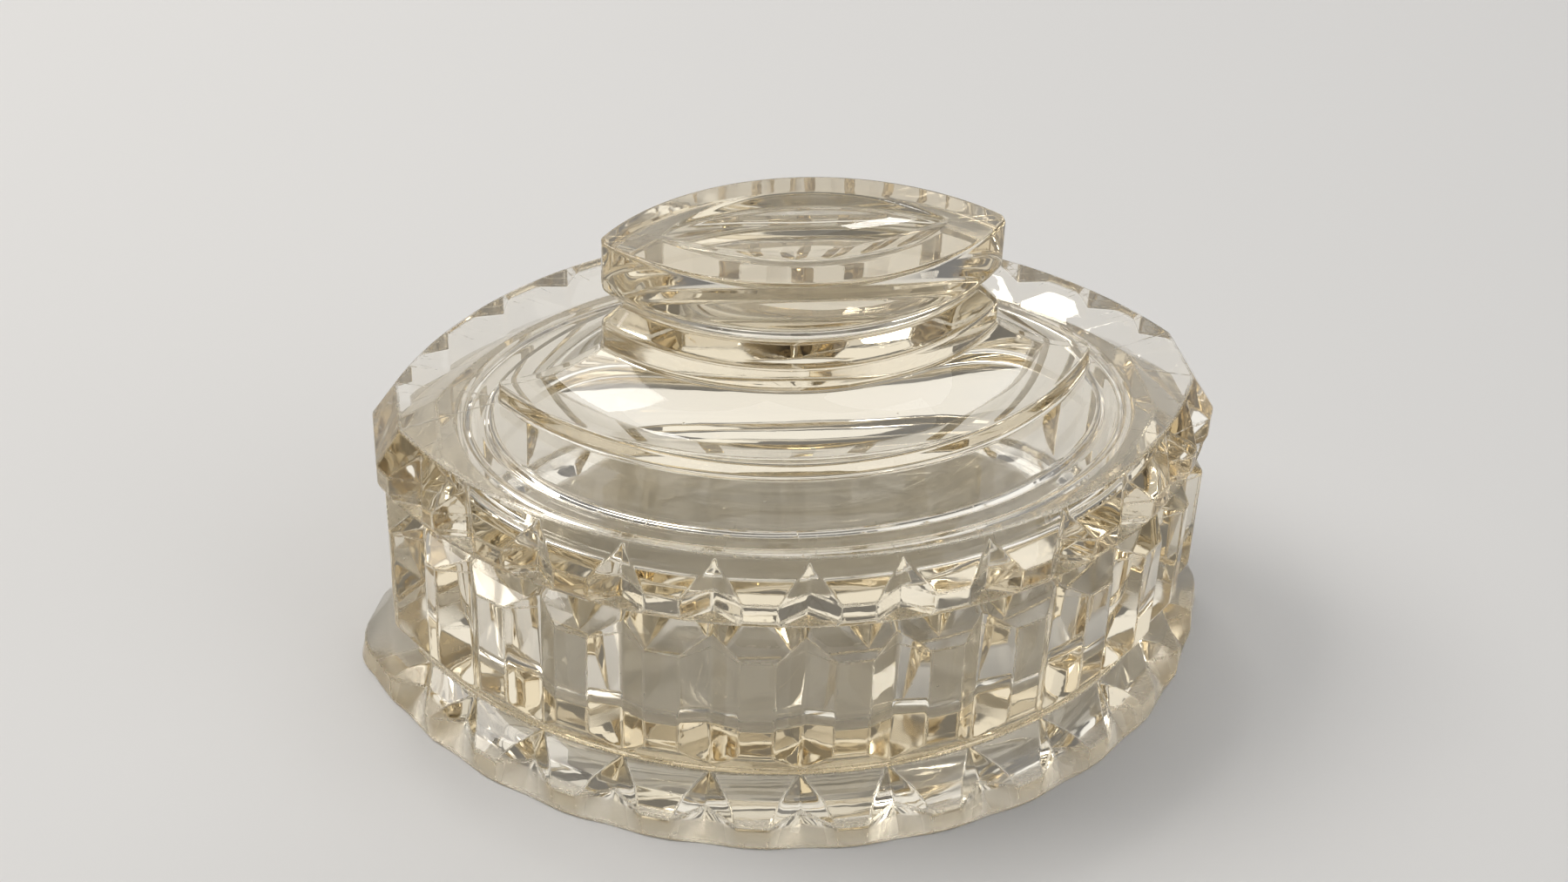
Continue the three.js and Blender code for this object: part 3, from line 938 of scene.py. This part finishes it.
def glass_material(name, wave_size, ripple_share):
    """Clear glass with a straw tint in its depth."""
    look = settings().glass
    material = bpy.data.materials.new(name)
    material.use_nodes = True
    tree = material.node_tree
    tree.nodes.clear()
    make = TreeMaker(tree)
    group = make.node("ShaderNodeGroup", node_tree=surface_group())
    group.inputs["Wave Size"].default_value = wave_size
    group.inputs["Ripple Share"].default_value = ripple_share
    group.inputs["Tint"].default_value = (*look.tint, 1.0)
    for label, attribute in (("Wear", "wear"), ("Ground", "ground")):
        painted = make.node("ShaderNodeAttribute", attribute_name=attribute)
        tree.links.new(painted.outputs["Fac"], group.inputs[label])
    bump = make.node(
        "ShaderNodeBump",
        {"Strength": 1.0, "Distance": BUMP_HEIGHT, "Height": group.outputs["Height"]},
    )
    shader = make.node("ShaderNodeBsdfPrincipled", {
        "Base Color": group.outputs["Tint"],
        "Roughness": group.outputs["Roughness"],
        "Metallic": 0.0,
        "IOR": GLASS_IOR,
        "Transmission Weight": 1.0,
        "Normal": bump.outputs[0],
    })
    depth = make.node("ShaderNodeVolumeAbsorption", {
        "Color": (*look.depth_tint, 1.0),
        "Density": look.depth_density,
    })
    through = make.node("ShaderNodeBsdfTransparent", {"Color": SHADOW_LIGHT})
    mix = make.node("ShaderNodeMixShader", {
        0: make.node("ShaderNodeLightPath").outputs["Is Shadow Ray"],
        1: shader.outputs[0],
        2: through.outputs[0],
    })
    make.node("ShaderNodeOutputMaterial", {"Surface": mix.outputs[0], "Volume": depth.outputs[0]})
    return material


class TRINKET_OT_base(Operator):
    """Build the fluted base with its notched foot and its hollow"""

    bl_idname = "trinket.base"
    bl_label = "Base"
    bl_options = {"REGISTER", "UNDO"}

    def execute(self, context):
        obj = swept_object("fluted_base", soften(base_stages()))
        press_flutes(obj, glass_material("Base glass", wave_size=0.034, ripple_share=0.06))
        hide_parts("box_base")
        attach(obj, "base")
        return {"FINISHED"}


class TRINKET_OT_lid(Operator):
    """Build the lid with its fluted rim, platform, two-tier handle and locating ring"""

    bl_idname = "trinket.lid"
    bl_label = "Lid"
    bl_options = {"REGISTER", "UNDO"}

    def execute(self, context):
        rings = soften(underside_stages() + rim_stages() + top_stages())
        obj = swept_object("handled_lid", rings)
        press_flutes(obj, glass_material("Lid glass", wave_size=0.026, ripple_share=0.05))
        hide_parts("lid")
        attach(obj, "lid")
        return {"FINISHED"}


FLOOR_HALF_SIZE = 4.0
FLOOR_GAP = 0.2 * MM
DARKER_SHARE = 0.97

CAMERA_PLACE = (-0.07008, -0.34344, 0.27671)
CAMERA_AZIMUTH = math.radians(11.195)
CAMERA_ELEVATION = math.radians(34.246)
CAMERA_ROLL = math.radians(2.326)

LAMPS = (
    ("Key softbox", (-0.8, 0.35, 1.1), (0.8, 0.7), 9.5, (1.0, 0.97, 0.93)),
    ("Fill softbox", (0.9, -0.6, 0.95), (1.1, 1.1), 3.4, (0.95, 0.97, 1.0)),
    ("Back softbox", (0.35, 1.35, 0.9), (1.8, 1.0), 4.5, (0.97, 0.98, 1.0)),
    ("Top softbox", (0.1, 0.05, 1.5), (1.4, 1.4), 3.7, (1.0, 1.0, 1.0)),
    ("Spark lamp", (-0.12, 0.55, 1.25), (0.2, 0.14), 1.1, (1.0, 0.98, 0.94)),
)
LAMP_AIM = (0.0, 0.0, 0.03)

# Light turns this often inside the thick glass before it is given up
LIGHT_BOUNCES = 16


def floor_material():
    """A matt floor with a barely uneven tone."""
    look = settings().stage
    material = bpy.data.materials.new("Floor")
    material.use_nodes = True
    tree = material.node_tree
    tree.nodes.clear()
    make = TreeMaker(tree)
    place = make.node("ShaderNodeTexCoord").outputs["Object"]
    tone = make.node("ShaderNodeTexNoise", {"Vector": place, "Scale": 3.0, "Detail": 2.0}).outputs["Fac"]
    darker = tuple(DARKER_SHARE * value for value in look.floor)
    mix = make.node("ShaderNodeMix", {
        "Factor": tone, "A": (*look.floor, 1.0), "B": (*darker, 1.0),
    }, data_type="RGBA")
    shader = make.node("ShaderNodeBsdfPrincipled", {
        "Base Color": mix.outputs["Result"],
        "Roughness": 0.8,
    })
    make.node("ShaderNodeOutputMaterial", {"Surface": shader.outputs[0]})
    return material


def build_floor():
    half = FLOOR_HALF_SIZE
    mesh = bpy.data.meshes.new("floor")
    corners = [(-half, -half), (half, -half), (half, half), (-half, half)]
    mesh.from_pydata([(x, y, -FLOOR_GAP) for x, y in corners], [], [(0, 1, 2, 3)])
    mesh.materials.append(floor_material())
    floor = bpy.data.objects.new("floor", mesh)
    bpy.context.scene.collection.objects.link(floor)


def build_lamps():
    for name, place, spans, power, tone in LAMPS:
        data = bpy.data.lights.new(name, "AREA")
        data.shape = "RECTANGLE"
        data.size, data.size_y = spans
        data.energy = power
        data.color = tone
        lamp = bpy.data.objects.new(name, data)
        lamp.location = place
        lamp.rotation_euler = (Vector(LAMP_AIM) - Vector(place)).to_track_quat("-Z", "Y").to_euler()
        bpy.context.scene.collection.objects.link(lamp)
    world = bpy.data.worlds.new("Room")
    world.use_nodes = True
    background = world.node_tree.nodes["Background"]
    background.inputs["Color"].default_value = (*settings().stage.surround, 1.0)
    bpy.context.scene.world = world


def build_camera():
    """The photograph's place and angle. Azimuth 0 looks along +Y."""
    data = bpy.data.cameras.new("Camera")
    data.lens = settings().stage.lens
    camera = bpy.data.objects.new("Camera", data)
    az, el = CAMERA_AZIMUTH, CAMERA_ELEVATION
    ahead = Vector((math.sin(az) * math.cos(el), math.cos(az) * math.cos(el), -math.sin(el)))
    level = Vector((math.cos(az), -math.sin(az), 0.0))
    above = level.cross(ahead)
    right = level * math.cos(CAMERA_ROLL) + above * math.sin(CAMERA_ROLL)
    up = above * math.cos(CAMERA_ROLL) - level * math.sin(CAMERA_ROLL)
    turn = Matrix((right, up, -ahead)).transposed().to_4x4()
    camera.matrix_world = Matrix.Translation(CAMERA_PLACE) @ turn
    bpy.context.scene.collection.objects.link(camera)
    bpy.context.scene.camera = camera


class TRINKET_OT_stage(Operator):
    """Lay the floor, hang the lamps and place the camera"""

    bl_idname = "trinket.stage"
    bl_label = "Stage"
    bl_options = {"REGISTER", "UNDO"}

    def execute(self, context):
        build_floor()
        build_lamps()
        build_camera()
        context.scene.view_settings.view_transform = "Standard"
        context.scene.cycles.max_bounces = LIGHT_BOUNCES
        context.scene.cycles.transmission_bounces = LIGHT_BOUNCES
        context.scene.cycles.glossy_bounces = LIGHT_BOUNCES
        return {"FINISHED"}


class TRINKET_PT_panel(Panel):
    """Steps that build the box and its stage"""

    bl_idname = "TRINKET_PT_panel"
    bl_label = "Glass Trinket Box"
    bl_space_type = "VIEW_3D"
    bl_region_type = "UI"
    bl_category = "Trinket Box"

    def draw(self, context):
        for step in (TRINKET_OT_base, TRINKET_OT_lid, TRINKET_OT_stage):
            self.layout.operator(step.bl_idname)


CLASSES = (
    PlanSizes, FluteSizes, FootSizes, BaseSizes, LidSizes, HandleSizes, GlassLook, StageLook, BoxSettings,
    TRINKET_OT_base, TRINKET_OT_lid, TRINKET_OT_stage, TRINKET_PT_panel,
)


def register():
    for cls in CLASSES:
        bpy.utils.register_class(cls)
    bpy.types.Scene.trinket_box = PointerProperty(type=BoxSettings)


def unregister():
    del bpy.types.Scene.trinket_box
    for cls in reversed(CLASSES):
        bpy.utils.unregister_class(cls)


def main():
    register()
    bpy.ops.trinket.stage()
    bpy.ops.trinket.base()
    bpy.ops.trinket.lid()


if __name__ == "__main__":
    main()
